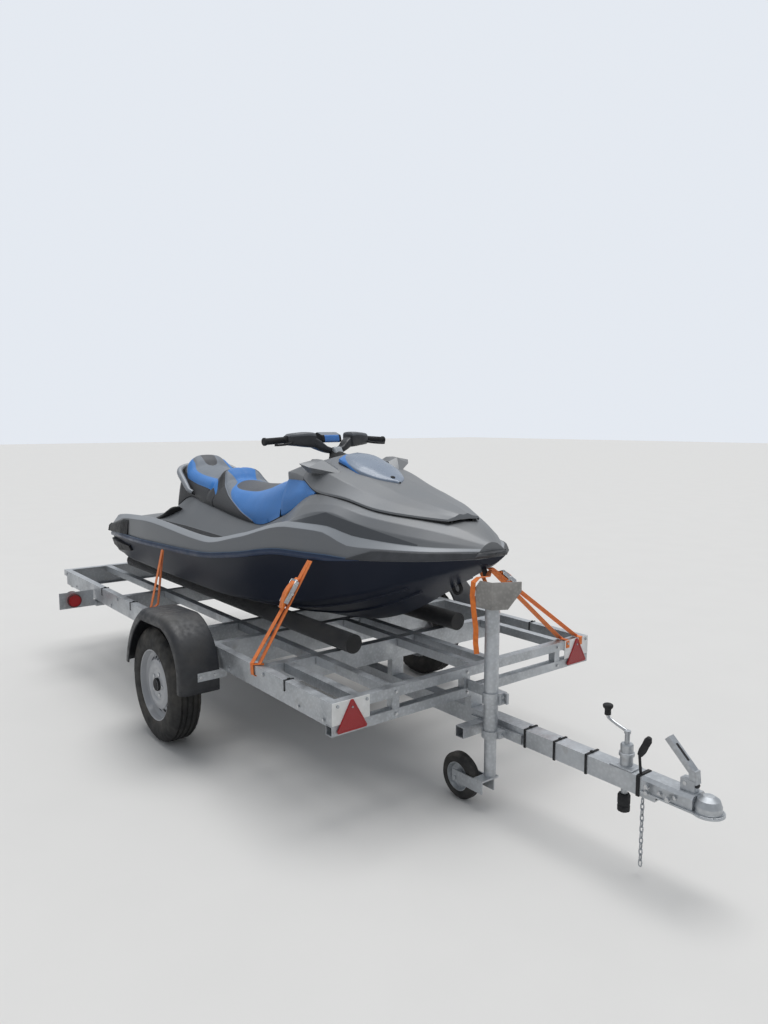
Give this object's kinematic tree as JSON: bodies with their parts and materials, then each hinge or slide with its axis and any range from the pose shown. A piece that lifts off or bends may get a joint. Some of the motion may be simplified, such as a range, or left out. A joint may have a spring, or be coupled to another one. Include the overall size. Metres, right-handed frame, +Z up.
{
  "type": "personal watercraft on a road trailer",
  "caption": "Sit-on personal watercraft with two-part saddle, handlebar steering and opening hood, lashed to a galvanised single-axle trailer with padded bunks and a jockey wheel.",
  "frame": {"origin": "on the floor, on the centreline, midway between the trailer's rear end and the tip of its coupling", "axes": "+X forward towards the bow and the coupling, +Y to port, +Z up"},
  "size_m": [4.538, 1.97, 1.552],
  "materials": {
    "hull": "gloss gelcoat",
    "deck": "satin metallic grey",
    "bumper": "dark grey moulded",
    "blue_rail": "dark blue moulded",
    "visor": "polished",
    "seat": "grained vinyl-coated fabric over foam",
    "mat": "ribbed foam",
    "black_plastic": "matt moulded",
    "grey_plastic": "matt moulded",
    "rubber": "ribbed",
    "tyre": "worn rubber",
    "zinc": "hot-dip galvanised",
    "wheel_steel": "silver paint",
    "steel": "bright steel",
    "alu": "cast",
    "cast": "cast",
    "carpet": "black carpet",
    "strap": "orange webbing",
    "lamp_red": "red lens"
  },
  "bodies": {
    "root": {"axle": "zinc", "bow_bumper": "bumper", "bow_eye": "steel", "bow_post": "zinc", "bunks": "carpet", "chain": "steel", "column_cover": "deck", "coupling_head": "zinc", "coupling_lever": "zinc", "cross_members": "zinc", "deck": "deck", "drawbar": "zinc", "drawbar_hangers": "zinc", "drawbar_screw": "zinc", "engine": "cast", "fender_brackets": "zinc", "fender_left": "black_plastic", "fender_right": "black_plastic", "front_low_rail": "zinc", "front_posts": "zinc", "front_top_rail": "zinc", "grab_rail": "black_plastic", "hood_hinge": "steel", "hull": "hull", "jet_pump": "alu", "lamp_boards": "zinc", "lamps": "lamp_red", "longitudinals": "zinc", "lower_rails": "zinc", "mats": "mat", "post_bracket": "zinc", "post_clamps": "zinc", "reflectors": "lamp_red", "ride_plate": "alu", "rub_rail": "blue_rail", "seat_front": "seat", "seat_rear": "seat", "side_rails": "zinc", "sponsons": "black_plastic", "stern_bumpers": "black_plastic", "storage_tub": "black_plastic", "straps": "strap"},
    "wheel_left": {"tyre_left": "tyre", "rim_left": "wheel_steel"},
    "wheel_right": {"tyre_right": "tyre", "rim_right": "wheel_steel"},
    "jockey_leg": {"jockey_leg": "zinc"},
    "jockey_wheel": {"jockey_tyre": "tyre", "jockey_rim": "zinc"},
    "steering": {"handlebar": "black_plastic", "bar_pad": "black_plastic", "switch_pods": "grey_plastic", "grips": "rubber"},
    "nozzle": {"jet_nozzle": "alu"},
    "bucket": {"reverse_bucket": "black_plastic"},
    "hood": {"hood": "deck", "visor": "visor", "mirror_left": "deck", "mirror_right": "deck"}
  },
  "joints": [
    {"name": "wheel_left_spin", "type": "hinge", "parent": "root", "child": "wheel_left", "pos_m": [-0.21, 0.862, 0.289], "axis": [0, 1, 0], "continuous": true},
    {"name": "wheel_right_spin", "type": "hinge", "parent": "root", "child": "wheel_right", "pos_m": [-0.21, -0.862, 0.289], "axis": [0, 1, 0], "continuous": true},
    {"name": "jockey_lift", "type": "slide", "parent": "root", "child": "jockey_leg", "axis": [0, 0, 1], "range_m": [0, 0.08]},
    {"name": "jockey_spin", "type": "hinge", "parent": "jockey_leg", "child": "jockey_wheel", "pos_m": [1.178, -0.126, 0.1], "axis": [0, 1, 0], "continuous": true},
    {"name": "steer", "type": "hinge", "parent": "root", "child": "steering", "pos_m": [0.1, 0, 1.385], "axis": [-0.5878, 0, 0.809], "range_deg": [-20, 20]},
    {"name": "nozzle_swing", "type": "hinge", "parent": "root", "child": "nozzle", "pos_m": [-2.165, 0, 0.655], "axis": [0, 0, 1], "range_deg": [-20, 20]},
    {"name": "bucket_tilt", "type": "hinge", "parent": "root", "child": "bucket", "pos_m": [-2.165, 0, 0.655], "axis": [0, 1, 0], "range_deg": [-60, 0]},
    {"name": "hood_lift", "type": "hinge", "parent": "root", "child": "hood", "pos_m": [1.036, 0, 1.186], "axis": [0, 1, 0], "range_deg": [0, 45]}
  ],
  "couplings": [
    {"joint": "nozzle_swing", "follows": "steer", "ratio": 1}
  ]
}
